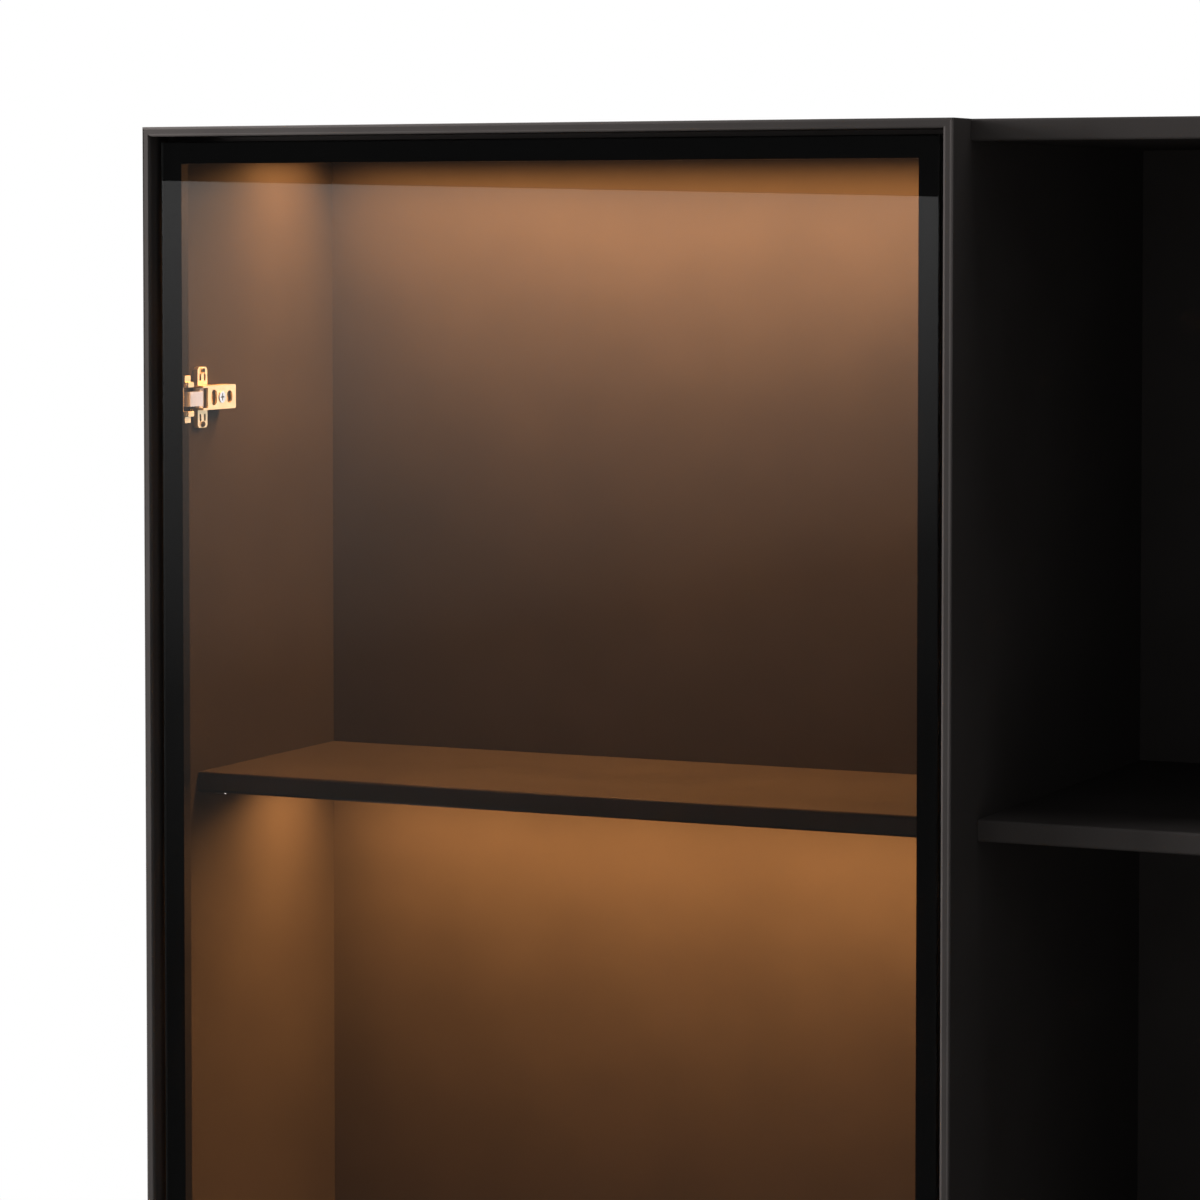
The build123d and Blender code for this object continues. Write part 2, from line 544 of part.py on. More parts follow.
# ---- push latches, on the boxes' inner sides behind the free stiles ----
LATCH_Z, LATCH_HALF, LATCH_WIDE, LATCH_Y = 800.0, 9.0, 12.0, (30.0, 92.0)
PLUNGER, PLUNGER_RUN, PLUNGER_BACK, PLUNGER_TIP = 3.5, 0.08, 70.0, 24.0
LATCH_BORE_END = 74.0
CATCH, CATCH_HALF_X, CATCH_HALF_Z = 1.5, 6.5, 14.0
LATCH_ROUND, PLUNGER_BEVEL, CATCH_ROUND = 2.5, 0.8, 2.0


def make_latches():
    inner = BOX_WIDTH - BOARD
    middle = inner - LATCH_WIDE / 2
    high = (LATCH_Z - LATCH_HALF, LATCH_Z + LATCH_HALF)
    housing = block((inner - LATCH_WIDE, inner), LATCH_Y, high)
    housing = fillet(housing.edges().filter_by(Axis.Y).group_by(Axis.X)[0], LATCH_ROUND)
    bore = rod((middle, LATCH_Y[0], LATCH_Z), (0, 1, 0), PLUNGER + PLUNGER_RUN, LATCH_BORE_END - LATCH_Y[0])
    save("latch_housings", *both_sides([housing - bore]))
    plunger = rod((middle, PLUNGER_TIP, LATCH_Z), (0, 1, 0), PLUNGER, PLUNGER_BACK - PLUNGER_TIP)
    save_both("latch_plunger", chamfer(plunger.edges().group_by(Axis.Y)[0], PLUNGER_BEVEL))
    wide = (middle - CATCH_HALF_X, middle + CATCH_HALF_X)
    tall = (LATCH_Z - CATCH_HALF_Z, LATCH_Z + CATCH_HALF_Z)
    catch = block(wide, (DOOR_BACK, DOOR_BACK + CATCH), tall)
    save_both("catch_plate", fillet(catch.edges().filter_by(Axis.Y), CATCH_ROUND))


# ---- screws of the rear panels ----
REAR_SHANK, REAR_HEAD, REAR_HEAD_HIGH, REAR_IN = 1.75, 3.6, 1.6, 20.0
REAR_ROWS, REAR_FIRST = 4, 100.0
END_SHARES, CENTRE_SHARES = (0.3, 0.7), (-0.8, 0, 0.8)


def rear_screw_places():
    """Where the left rear panel is screwed to its rabbet, as x, z."""
    edge = BOARD - REAR_RABBET / 2
    low, high = BOX_BOTTOM + edge, HEIGHT - edge
    step = (BOX_HEIGHT - 2 * REAR_FIRST) / (REAR_ROWS - 1)
    rows = [BOX_BOTTOM + REAR_FIRST + step * n for n in range(REAR_ROWS)]
    sides = [(x, z) for z in rows for x in (edge, BOX_WIDTH - edge)]
    ends = [(BOX_WIDTH * share, z) for share in END_SHARES for z in (low, high)]
    return sides + ends


def rear_screw(x, z):
    """A screw driven from the back until its head is flush."""
    shank = rod((x, DEPTH - REAR_IN, z), (0, 1, 0), REAR_SHANK, REAR_IN)
    return shank + rod((x, DEPTH - REAR_HEAD_HIGH, z), (0, 1, 0), REAR_HEAD, REAR_HEAD_HIGH)


def rear_screws():
    return [rear_screw(x, z) for x, z in rear_screw_places()]


def centre_screw_places():
    """Where the open bay's back is screwed to its top and bottom boards."""
    middle = BOX_WIDTH + OPEN_HALF
    heights = (BOX_BOTTOM + BOARD / 2, HEIGHT - BOARD / 2)
    return [(middle + share * OPEN_HALF, z) for share in CENTRE_SHARES for z in heights]


def centre_screws():
    return [rear_screw(x, z) for x, z in centre_screw_places()]


os.makedirs("parts", exist_ok=True)
make_box()
make_open_bay()
make_shelves()
make_drivers()
make_plinth()
make_door()
make_hinges()
make_latches()
save("back_panel_screws", *both_sides(rear_screws()), *centre_screws())
print(len(written), "nodes,", sum(written.values()), "solids")
print("the hinge link turns", round(LINK_ON_DOOR, 3), "degrees on the door, about", at(*CUP_PIN, 0)[:2])
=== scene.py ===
# %% [markdown]
# # A black display cabinet with lit glass-door boxes
# The cabinet comes from CAD with every board, hinge and profile in place. This lesson dresses it:
# it eases the sharp CAD edges, makes the small repeated hardware with Geometry Nodes, gives each
# surface the finish of the real material, and lights it as a product picture. Sizes that a maker
# would read off in millimetres are written so, and MM turns them into metres.

import json
import math

import bmesh
import bpy
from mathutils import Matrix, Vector


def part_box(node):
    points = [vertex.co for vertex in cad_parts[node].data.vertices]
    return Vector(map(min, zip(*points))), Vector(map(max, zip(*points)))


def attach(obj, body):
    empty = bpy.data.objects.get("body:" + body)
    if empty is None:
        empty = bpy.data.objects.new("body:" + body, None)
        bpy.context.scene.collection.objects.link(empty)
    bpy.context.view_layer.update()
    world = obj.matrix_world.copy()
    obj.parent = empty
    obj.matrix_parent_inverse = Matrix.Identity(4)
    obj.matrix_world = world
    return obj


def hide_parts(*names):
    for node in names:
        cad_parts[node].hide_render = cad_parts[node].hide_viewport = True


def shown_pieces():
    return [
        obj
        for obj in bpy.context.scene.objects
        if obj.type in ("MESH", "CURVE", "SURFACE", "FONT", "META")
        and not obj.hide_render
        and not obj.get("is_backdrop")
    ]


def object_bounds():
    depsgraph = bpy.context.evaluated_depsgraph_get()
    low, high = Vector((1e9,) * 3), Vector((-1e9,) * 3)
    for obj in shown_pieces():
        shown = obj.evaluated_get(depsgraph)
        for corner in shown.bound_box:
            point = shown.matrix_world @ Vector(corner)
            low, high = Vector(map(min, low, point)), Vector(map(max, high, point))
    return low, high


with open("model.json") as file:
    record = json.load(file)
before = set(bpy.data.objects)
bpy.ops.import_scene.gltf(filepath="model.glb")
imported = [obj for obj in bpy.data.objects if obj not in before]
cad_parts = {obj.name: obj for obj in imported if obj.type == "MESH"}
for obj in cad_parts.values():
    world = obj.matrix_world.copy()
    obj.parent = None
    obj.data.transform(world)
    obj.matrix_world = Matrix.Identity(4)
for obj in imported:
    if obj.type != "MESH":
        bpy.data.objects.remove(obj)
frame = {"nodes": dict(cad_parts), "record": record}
cad_low, cad_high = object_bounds()
MM = 0.001
SIDES = ("left", "right")
print("cabinet", [round(v, 3) for v in cad_high - cad_low], "m,", len(frame["nodes"]), "CAD nodes")

# %% [markdown]
# ## The camera
# A long lens from eye height, standing to the right of the lit box and looking back at its top
# corner. A long lens keeps the boards' lines nearly parallel, as in furniture pictures. Uprights
# stay upright only if the camera looks level, so the frame is lowered partly by tilting the camera
# and partly by shifting the lens. A small shift keeps the cabinet inside the frame in other views.

# %% Place the camera
EYE = Vector((0.7212, -3.0714, 1.5198))
TURN_LEFT, TILT_DOWN = math.radians(25.008), math.radians(2.559)
LENS_MM, LENS_SHIFT = 127.34, -0.15

camera_data = bpy.data.cameras.new("camera")
camera_data.lens = LENS_MM
camera_data.shift_y = LENS_SHIFT
camera = bpy.data.objects.new("camera", camera_data)
camera.location = EYE
camera.rotation_euler = (math.pi / 2 - TILT_DOWN, 0, TURN_LEFT)
bpy.context.scene.collection.objects.link(camera)
bpy.context.scene.camera = camera
bpy.context.scene.view_settings.view_transform = "Standard"
print("camera at", [round(v, 2) for v in EYE])

# %% [markdown]
# ## Helpers for node trees
# Materials and Geometry Nodes are both node trees, so one function serves both: it adds a node,
# sets its properties, and fills its inputs with values or with links from other nodes. Colours
# are written as sRGB hex, the way a paint maker gives them, and shaders want linear light.

# %% Node and colour helpers
def add(tree, kind, inputs=None, **settings):
    """Adds a node. An input given a socket is linked to it, and any other value is set."""
    node = tree.nodes.new(kind)
    for name, value in settings.items():
        setattr(node, name, value)
    for name, value in (inputs or {}).items():
        if isinstance(value, bpy.types.NodeSocket):
            tree.links.new(value, node.inputs[name])
        else:
            node.inputs[name].default_value = value
    return node


def linear(hex_colour):
    """An sRGB hex colour as linear red, green, blue and an alpha of 1."""
    parts = [int(hex_colour[i : i + 2], 16) / 255 for i in (1, 3, 5)]
    return [p / 12.92 if p <= 0.04045 else ((p + 0.055) / 1.055) ** 2.4 for p in parts] + [1.0]


def blank(name):
    """A new material: itself, its empty node tree and its Object coordinates."""
    material = bpy.data.materials.new(name)
    material.use_nodes = True
    tree = material.node_tree
    tree.nodes.clear()
    return material, tree, add(tree, "ShaderNodeTexCoord").outputs["Object"]


def pattern(tree, where, size_mm, detail=2.0, stretch=(1, 1, 1)):
    """Noise whose grains are size_mm wide. A stretch under 1 lengthens them along that axis."""
    scaled = add(tree, "ShaderNodeMapping", {"Vector": where, "Scale": stretch}).outputs["Vector"]
    settings = {"Vector": scaled, "Scale": 1 / (size_mm * MM), "Detail": detail}
    return add(tree, "ShaderNodeTexNoise", settings).outputs["Fac"]


NOISE_LOW, NOISE_HIGH = 0.3, 0.7


def between(tree, value, low, high):
    """Remaps the middle of a noise pattern, where nearly all of it lies, to low to high."""
    settings = {"Value": value, "From Min": NOISE_LOW, "From Max": NOISE_HIGH}
    settings |= {"To Min": low, "To Max": high}
    return add(tree, "ShaderNodeMapRange", settings).outputs["Result"]


def shade(tree, value, dark, light):
    """A colour that runs between two sRGB hex colours with a pattern."""
    ramp = add(tree, "ShaderNodeValToRGB", {"Fac": value})
    stops = zip(ramp.color_ramp.elements, (NOISE_LOW, NOISE_HIGH), (dark, light))
    for stop, position, colour in stops:
        stop.position, stop.color = position, linear(colour)
    return ramp.outputs["Color"]


def relief(tree, height, depth_mm):
    """A normal for a relief of the given pattern and depth."""
    settings = {"Height": height, "Distance": depth_mm * MM}
    return add(tree, "ShaderNodeBump", settings).outputs["Normal"]


def close(tree, **surface):
    """Ends a material in one Principled shader. Spaces in input names are written as _."""
    inputs = {name.replace("_", " "): value for name, value in surface.items()}
    shader = add(tree, "ShaderNodeBsdfPrincipled", inputs)
    add(tree, "ShaderNodeOutputMaterial", {"Surface": shader.outputs["BSDF"]})
    return shader


# %% [markdown]
# ## Matt black lacquer and other blacks
# The boards are sprayed with matt polyurethane lacquer. Spraying leaves a very fine ripple called
# orange peel, about 2 mm across, and wiping polishes some places a little more than others. The
# black is slightly warm, so it goes brown under the lights inside. Moulded nylon has a finer,
# spark-eroded grain, and the hardboard at the back has the dimples of its press plate.

# %% Sprayed boards and moulded black parts
WIPED_MM = 90


def matt_coat(name, dark, light, roughness, grain_mm, depth_mm, gloss=0.5):
    """A matt coat with a fine grain. A gloss under 0.5 weakens the mirror of its surface."""
    material, tree, where = blank(name)
    wiped = pattern(tree, where, WIPED_MM, 3.0)
    close(
        tree,
        Specular_IOR_Level=gloss,
        Base_Color=shade(tree, wiped, dark, light),
        Roughness=between(tree, wiped, roughness - 0.03, roughness + 0.04),
        Normal=relief(tree, pattern(tree, where, grain_mm), depth_mm),
        IOR=1.5,
    )
    return material


WARM_BLACK, MATT = ("#2f2c2b", "#33302f"), 0.08
lacquer = matt_coat("matt_black_polyurethane_lacquer", *WARM_BLACK, 0.6, 2.0, 0.001, MATT)
panel_lacquer = matt_coat("matt_black_lacquer_on_hardboard", *WARM_BLACK, 0.6, 1.2, 0.0006, MATT)
nylon = matt_coat("black_glass_filled_nylon", "#1b1b1c", "#242425", 0.48, 0.5, 0.03)
print("black finishes:", lacquer.name, panel_lacquer.name, nylon.name)

# %% [markdown]
# ## Metals
# The hinge parts are deep-drawn steel with a satin nickel plating, the door's hollow bars are
# black anodised aluminium drawn through a die, and the screws are zinc-plated. Drawing and
# brushing leave lines along one direction, so their noise is stretched along that axis. The real
# lines are a few hundredths of a millimetre apart; they are drawn coarser so that they show.

# %% Plated and anodised metals
ALONG_X, ALONG_Y, ALONG_Z = 0, 1, 2
LINE_STRETCH, BLOTCH_MM = 0.04, 12


def drawn_metal(name, dark, light, roughness, line_mm, along, depth_mm=0.004, metallic=1.0):
    """A metal with fine lines along the axis numbered along."""
    material, tree, where = blank(name)
    stretch = [LINE_STRETCH if axis == along else 1.0 for axis in range(3)]
    lines = pattern(tree, where, line_mm, 2.0, stretch)
    blotch = pattern(tree, where, BLOTCH_MM, 2.0)
    close(
        tree,
        Base_Color=shade(tree, blotch, dark, light),
        Metallic=metallic,
        Roughness=between(tree, lines, roughness - 0.05, roughness + 0.08),
        Normal=relief(tree, lines, depth_mm),
    )
    return material


nickel_plate = drawn_metal("satin_nickel_plated_steel", "#e0cda6", "#ecdcba", 0.46, 0.35, ALONG_Z)
nickel_link = drawn_metal("brushed_nickel_steel", "#c8cad0", "#dadce2", 0.4, 0.25, ALONG_Z)
nickel_arm = drawn_metal("satin_nickel_arm", "#e0cda6", "#ead9b6", 0.44, 0.35, ALONG_Y)
zinc = drawn_metal("bright_zinc_plated_steel", "#b9bcbf", "#cdd0d3", 0.24, 0.3, ALONG_Z)
die_cast = drawn_metal("tumbled_die_cast_zinc", "#8d8f92", "#a2a4a6", 0.42, 0.6, ALONG_X, 0.02)
ANODISED, WHITE_COAT = ("#1b1a1a", "#222120"), ("#e9e7e2", "#f2f0ec")
anodised_bar = drawn_metal("black_anodised_upright", *ANODISED, 0.36, 0.3, ALONG_Z, 0.003, 0.6)
anodised_rail = drawn_metal("black_anodised_rail", *ANODISED, 0.36, 0.3, ALONG_X, 0.003, 0.6)
white_tray = drawn_metal("white_powder_coated_aluminium", *WHITE_COAT, 0.5, 0.8, ALONG_X, 0.01, 0.0)
print("metals:", nickel_plate.name, nickel_link.name, anodised_bar.name, zinc.name)

# %% [markdown]
# ## Glass and its black border
# The door is one pane of 4 mm float glass, nearly clear. Behind its edges a black ceramic enamel
# is fired on, which hides the aluminium bars, so from the front the door is a black outline with a
# sharp inner edge. The enamel is fused to the glass with no air between them, so it has no mirror
# of its own: only the outer face of the glass reflects over it.

# %% Float glass, enamel and opal acrylic
GLASS_IOR, ACRYLIC_IOR = 1.52, 1.49
WARM = "#ffad61"


def float_glass():
    """Clear glass with a trace of green, which varies a little over the pane."""
    material, tree, where = blank("float_glass")
    haze = pattern(tree, where, 60, 2.0)
    close(
        tree,
        Base_Color=shade(tree, haze, "#f1f3f1", "#f7f8f7"),
        Roughness=0.0,
        IOR=GLASS_IOR,
        Transmission_Weight=1.0,
    )
    return material


def glowing(name, surface, strength, grain_mm):
    """A diffusing plastic lit from behind."""
    material, tree, where = blank(name)
    cloud = pattern(tree, where, grain_mm)
    shader = close(
        tree,
        Base_Color=shade(tree, cloud, surface, "#ffffff"),
        Roughness=between(tree, cloud, 0.4, 0.5),
        IOR=ACRYLIC_IOR,
    )
    shader.inputs["Emission Color"].default_value = linear(WARM)
    shader.inputs["Emission Strength"].default_value = strength
    return material


glass = float_glass()
enamel = matt_coat("black_ceramic_enamel", "#0b0b0b", "#0e0e0e", 0.3, 1.0, 0.002, 0.0)
opal = glowing("opal_acrylic", "#f4eee4", 3.0, 25)
circuit = matt_coat("white_solder_resist", "#e6e6e2", "#f0f0ec", 0.4, 1.5, 0.01)
print("glass:", glass.name, "| enamel:", enamel.name, "| lit plastic:", opal.name)


# %% [markdown]
# ## Beech
# The dowels are turned from beech, a pale pink-brown wood with short dark flecks along its grain.

# %% Beech dowels
def turned_beech():
    material, tree, where = blank("turned_beech")
    grain = pattern(tree, where, 1.2, 4.0, (0.06, 1, 1))
    close(
        tree,
        Base_Color=shade(tree, grain, "#b58a5e", "#cfa679"),
        Roughness=between(tree, grain, 0.55, 0.7),
        Normal=relief(tree, grain, 0.03),
    )
    return material


beech = turned_beech()
print("wood:", beech.name)

# %% [markdown]
# ## Giving the CAD pieces their finishes
# Every CAD node keeps its own object, and one table says which finish it gets.

# %% Finish of each CAD node
def paint(piece, material):
    piece.data.materials.clear()
    piece.data.materials.append(material)


def both_of(side, *names):
    return [f"{side}_{name}" for name in names]


def both(*names):
    return [node for side in SIDES for node in both_of(side, *names)]


FINISHES = [
    (lacquer, both("outer_side", "inner_side", "top", "bottom", "upper_shelf", "lower_shelf")),
    (lacquer, ["centre_top", "centre_bottom", "centre_upper_shelf", "centre_lower_shelf"]),
    (lacquer, ["plinth_rails", "plinth_cross_rails"]),
    (panel_lacquer, both("display_back", "rear_panel") + ["centre_back"]),
    (glass, both("door_glass")),
    (anodised_bar, both("door_hinge_stile", "door_free_stile")),
    (anodised_rail, both("door_top_rail", "door_bottom_rail")),
    (die_cast, both("door_corner_cleats")),
    (nickel_plate, ["hinge_plates"]),
    (nickel_arm, ["hinge_arms"] + both("hinge_cups")),
    (nickel_link, both("hinge_links")),
    (zinc, ["hinge_adjusters", "hinge_arm_pins", "hinge_plate_screws", "shelf_pins"]),
    (zinc, ["back_panel_screws"] + both("hinge_cup_pins", "catch_plate")),
    (nylon, ["latch_housings", "led_drivers"] + both("latch_plunger")),
    (nylon, ["foot_sockets", "levelling_feet"]),
    (white_tray, ["led_trays"]),
    (circuit, ["led_boards"]),
    (opal, ["led_diffusers"]),
    (beech, ["dowels"]),
]
finish_of = {name: material for material, names in FINISHES for name in names}
for name, node in frame["nodes"].items():
    paint(node, finish_of[name])
print(len(finish_of), "CAD nodes painted")

bodies = frame["record"]["behaviour"]["bodies"]
body_of = {name: body for body, names in bodies.items() for name in names}


# %% [markdown]
# ## The black border on the glass
# A flat frame just inside the back face of the pane, as wide as the aluminium bars behind it.

# %% Enamel border
def mesh_piece(name, vertices, faces, material):
    mesh = bpy.data.meshes.new(name)
    mesh.from_pydata(vertices, [], faces)
    piece = bpy.data.objects.new(name, mesh)
    bpy.context.scene.collection.objects.link(piece)
    paint(piece, material)
    return piece


ENAMEL_INSET, ENAMEL_FRONT, ENAMEL_BACK = 1.0 * MM, 0.3 * MM, 0.1 * MM


def rectangle(lowest, highest, y):
    """The four corners of an upright rectangle, given by two opposite x, z corners."""
    (x0, z0), (x1, z1) = lowest, highest
    return [(x0, y, z0), (x1, y, z0), (x1, y, z1), (x0, y, z1)]


def enamel_border(side):
    """A thin flat frame inside the pane, as wide as the bars behind it."""
    low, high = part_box(f"{side}_door_glass")
    bar_low, bar_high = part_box(f"{side}_door_top_rail")
    wide = bar_high.z - bar_low.z
    vertices = []
    for depth in (ENAMEL_FRONT, ENAMEL_BACK):
        for inset in (ENAMEL_INSET, wide):
            lowest, highest = (low.x + inset, low.z + inset), (high.x - inset, high.z - inset)
            vertices += rectangle(lowest, highest, high.y - depth)
    faces = []
    for n in range(4):
        m = (n + 1) % 4
        faces.append((n, m, m + 4, n + 4))
        faces.append((n + 8, n + 12, m + 12, m + 8))
        faces.append((n, n + 8, m + 8, m))
        faces.append((n + 4, m + 4, m + 12, n + 12))
    piece = mesh_piece(f"{side}_door_enamel_border", vertices, faces, enamel)
    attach(piece, f"{side}_door")
    return piece


borders = [enamel_border(side) for side in SIDES]
print("enamel borders:", [border.name for border in borders])

# %% [markdown]
# ## Finding the repeated parts
# Screws, feet and light panels are groups in the CAD: one node that holds many separate solids.
# Walking along the edges from one corner to the next finds each solid again, and its box says
# where that solid is and how large.

# %% Boxes of separate solids
WELD = 1e-6


def islands(name):
    """The boxes, lowest and highest corner, of the separate solids in one CAD node."""
    shape = bmesh.new()
    shape.from_mesh(frame["nodes"][name].data)
    bmesh.ops.remove_doubles(shape, verts=shape.verts, dist=WELD)
    boxes, seen = [], set()
    for start in shape.verts:
        if start in seen:
            continue
        group, reach = [], [start]
        seen.add(start)
        while reach:
            vertex = reach.pop()
            group.append(vertex.co.copy())
            for edge in vertex.link_edges:
                other = edge.other_vert(vertex)
                if other not in seen:
                    seen.add(other)
                    reach.append(other)
        low = Vector([min(point[axis] for point in group) for axis in range(3)])
        high = Vector([max(point[axis] for point in group) for axis in range(3)])
        boxes.append((low, high))
    shape.free()
    return boxes


screw_boxes = islands("back_panel_screws")
print("back panel screws:", len(screw_boxes), "| light panels:", len(islands("led_diffusers")))

# %% [markdown]
# ## Eased edges
# Boards are sanded before they are sprayed, which eases every long edge to about half a
# millimetre, and that catches a thin line of light. A Bevel does the same, on edges long enough to
# be sanded, so drilled holes stay crisp. A box's four boards are mitred, glued and filled, then
# sprayed together, so the edges of a mitre are left as they are and no joint shows at a corner.
# Folded and die-cut metal has smaller rounds, and glass has its edges ground.

# %% Ease the edges of the CAD parts
FLAT_ANGLE, SHARP_ANGLE = math.radians(0.5), math.radians(40)
SLANT = 0.1


def plain_mesh(piece):
    """The mesh of a piece with its modifiers applied, as new data."""
    bpy.context.view_layer.update()
    graph = bpy.context.evaluated_depsgraph_get()
    return bpy.data.meshes.new_from_object(piece.evaluated_get(graph), depsgraph=graph)


def bake(piece):
    """Applies a piece's modifiers, so that only a plain mesh is left."""
    mesh = plain_mesh(piece)
    piece.modifiers.clear()
    old, piece.data = piece.data, mesh
    bpy.data.meshes.remove(old)
    return piece


def mitred(face):
    """Says whether a face slants between left-right and up-down, as only a mitre does."""
    return abs(face.normal.x) > SLANT and abs(face.normal.z) > SLANT


def mark_long_edges(mesh, shortest, joined):
    """Welds a mesh, turns its flat triangles back into whole faces and marks long sharp edges."""
    shape = bmesh.new()
    shape.from_mesh(mesh)
    bmesh.ops.remove_doubles(shape, verts=shape.verts, dist=WELD)
    bmesh.ops.dissolve_limit(shape, angle_limit=FLAT_ANGLE, verts=shape.verts, edges=shape.edges)
    weight = shape.edges.layers.float.new("bevel_weight_edge")
    for edge in shape.edges:
        sharp = len(edge.link_faces) == 2 and edge.calc_face_angle() > SHARP_ANGLE
        glued = joined and any(mitred(face) for face in edge.link_faces)
        edge[weight] = float(sharp and not glued and edge.calc_length() > shortest)
    shape.to_mesh(mesh)
    shape.free()


def eased(name, node, radius, shortest, joined):
    """A piece that stands for a CAD node, with its long edges rounded."""
    mesh = frame["nodes"][node].data.copy()
    mark_long_edges(mesh, shortest, joined)
    piece = bpy.data.objects.new(name, mesh)
    bpy.context.scene.collection.objects.link(piece)
    rounding = piece.modifiers.new("ease", "BEVEL")
    rounding.limit_method, rounding.width, rounding.segments = "WEIGHT", radius, 2
    bake(piece)
    paint(piece, finish_of[node])
    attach(piece, body_of[node])
    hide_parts(node)
    return piece


# Each group has the radius of its edges and the shortest edge that is rounded, in millimetres.
WALLS = both("outer_side", "top", "inner_side", "bottom")
BOARDS = both("upper_shelf", "lower_shelf") + ["centre_top", "centre_bottom"]
BOARDS += ["centre_upper_shelf", "centre_lower_shelf", "plinth_rails", "plinth_cross_rails"]
PROFILES = both("door_hinge_stile", "door_free_stile", "door_top_rail", "door_bottom_rail")
HARDWARE = both("hinge_cups", "hinge_links", "catch_plate") + ["hinge_plates", "hinge_arms"]
CASES = ["latch_housings", "led_drivers"]
EASINGS = [(WALLS, 0.5, 12), (BOARDS, 0.5, 12), (PROFILES, 0.2, 6), (HARDWARE, 0.25, 2.5)]
EASINGS += [(CASES, 0.5, 6), (both("door_glass"), 0.4, 100)]
for nodes, radius_mm, shortest_mm in EASINGS:
    for node in nodes:
        piece = eased(f"{node}_eased", node, radius_mm * MM, shortest_mm * MM, nodes is WALLS)
        print(piece.name, len(piece.data.polygons), "faces")

# %% [markdown]
# ## Geometry Nodes for the small hardware
# Screws and feet repeat, so one tree makes one of them and sets it down at every place. The
# places are a mesh of loose points. Each tree has its sizes as named inputs, and ends by turning
# the instances into real mesh and giving them their finish.

# %% Helpers for Geometry Nodes trees
def geometry_tree(name, numbers):
    """A tree with the named number inputs. Returns it and the outputs of its input node."""
    tree = bpy.data.node_groups.new(name, "GeometryNodeTree")
    tree.interface.new_socket(name="Geometry", in_out="INPUT", socket_type="NodeSocketGeometry")
    tree.interface.new_socket(name="Geometry", in_out="OUTPUT", socket_type="NodeSocketGeometry")
    for label in numbers:
        tree.interface.new_socket(name=label, in_out="INPUT", socket_type="NodeSocketFloat")
    tree.interface.new_socket(name="Outward", in_out="INPUT", socket_type="NodeSocketVector")
    tree.interface.new_socket(name="Seed", in_out="INPUT", socket_type="NodeSocketInt")
    tree.interface.new_socket(name="Finish", in_out="INPUT", socket_type="NodeSocketMaterial")
    return tree, add(tree, "NodeGroupInput").outputs


def reckon(tree, operation, a, b=0.0):
    """The result of a Math node, named for its operation."""
    return add(tree, "ShaderNodeMath", {0: a, 1: b}, operation=operation).outputs["Value"]


def vector(tree, x=0.0, y=0.0, z=0.0):
    return add(tree, "ShaderNodeCombineXYZ", {"X": x, "Y": y, "Z": z}).outputs["Vector"]


def moved(tree, geometry, by):
    settings = {"Geometry": geometry, "Translation": by}
    return add(tree, "GeometryNodeTransform", settings).outputs["Geometry"]


def reshaped(tree, geometry, where, scale):
    """Multiplies the place of every point, given as where, by scale."""
    placed = add(tree, "ShaderNodeVectorMath", {0: where, 1: scale}, operation="MULTIPLY")
    settings = {"Geometry": geometry, "Position": placed.outputs["Vector"]}
    return add(tree, "GeometryNodeSetPosition", settings).outputs["Geometry"]


THREADED_SHARE, TURN_STEPS, ROD_SIDES, RIDGE_SIDES = 0.9, 12, 16, 3


def threaded_rod(tree, radius, length, pitch, core=0.8):
    """A rod that hangs down from z = 0, with a thread whose crest has the given radius.

    The core's radius is a share of the crest's. The thread is a helix with a three-sided profile.
    """
    inner = reckon(tree, "MULTIPLY", radius, core)
    settings = {"Vertices": ROD_SIDES, "Radius": inner, "Depth": length}
    rod = add(tree, "GeometryNodeMeshCylinder", settings).outputs["Mesh"]
    hanging = moved(tree, rod, vector(tree, z=reckon(tree, "MULTIPLY", length, -0.5)))
    threaded = reckon(tree, "MULTIPLY", length, THREADED_SHARE)
    turns = reckon(tree, "DIVIDE", threaded, pitch)
    settings = {"Resolution": TURN_STEPS, "Rotations": turns, "Height": threaded}
    settings |= {"Start Radius": inner, "End Radius": inner}
    helix = add(tree, "GeometryNodeCurveSpiral", settings).outputs["Curve"]
    lowered = moved(tree, helix, vector(tree, z=reckon(tree, "MULTIPLY", length, -1.0)))
    crest = reckon(tree, "SUBTRACT", radius, inner)
    settings = {"Resolution": RIDGE_SIDES, "Radius": crest}
    tooth = add(tree, "GeometryNodeCurvePrimitiveCircle", settings).outputs["Curve"]
    settings = {"Curve": lowered, "Profile Curve": tooth, "Fill Caps": True}
    return hanging, add(tree, "GeometryNodeCurveToMesh", settings).outputs["Mesh"]


def end_at_places(tree, given, shapes, spin):
    """Joins the shapes, sets them on the points along Outward, and ends the tree."""
    one = add(tree, "GeometryNodeJoinGeometry")
    for shape in shapes:
        tree.links.new(shape, one.inputs["Geometry"])
    aim = add(tree, "FunctionNodeAlignRotationToVector", {"Vector": given["Outward"]}, axis="Z")
    turn = aim.outputs["Rotation"]
    if spin:
        settings = {"Min": 0.0, "Max": math.pi, "Seed": given["Seed"]}
        chance = add(tree, "FunctionNodeRandomValue", settings).outputs[1]
        angles = vector(tree, z=chance)
        by = add(tree, "FunctionNodeEulerToRotation", {"Euler": angles}).outputs["Rotation"]
        settings = {"Rotation": turn, "Rotate By": by}
        spun = add(tree, "FunctionNodeRotateRotation", settings, rotation_space="LOCAL")
        turn = spun.outputs["Rotation"]
    settings = {"Points": given["Geometry"], "Instance": one.outputs["Geometry"], "Rotation": turn}
    copies = add(tree, "GeometryNodeInstanceOnPoints", settings).outputs["Instances"]
    real = add(tree, "GeometryNodeRealizeInstances", {"Geometry": copies}).outputs["Geometry"]
    settings = {"Geometry": real, "Material": given["Finish"]}
    finished = add(tree, "GeometryNodeSetMaterial", settings).outputs["Geometry"]
    add(tree, "NodeGroupOutput", {"Geometry": finished})


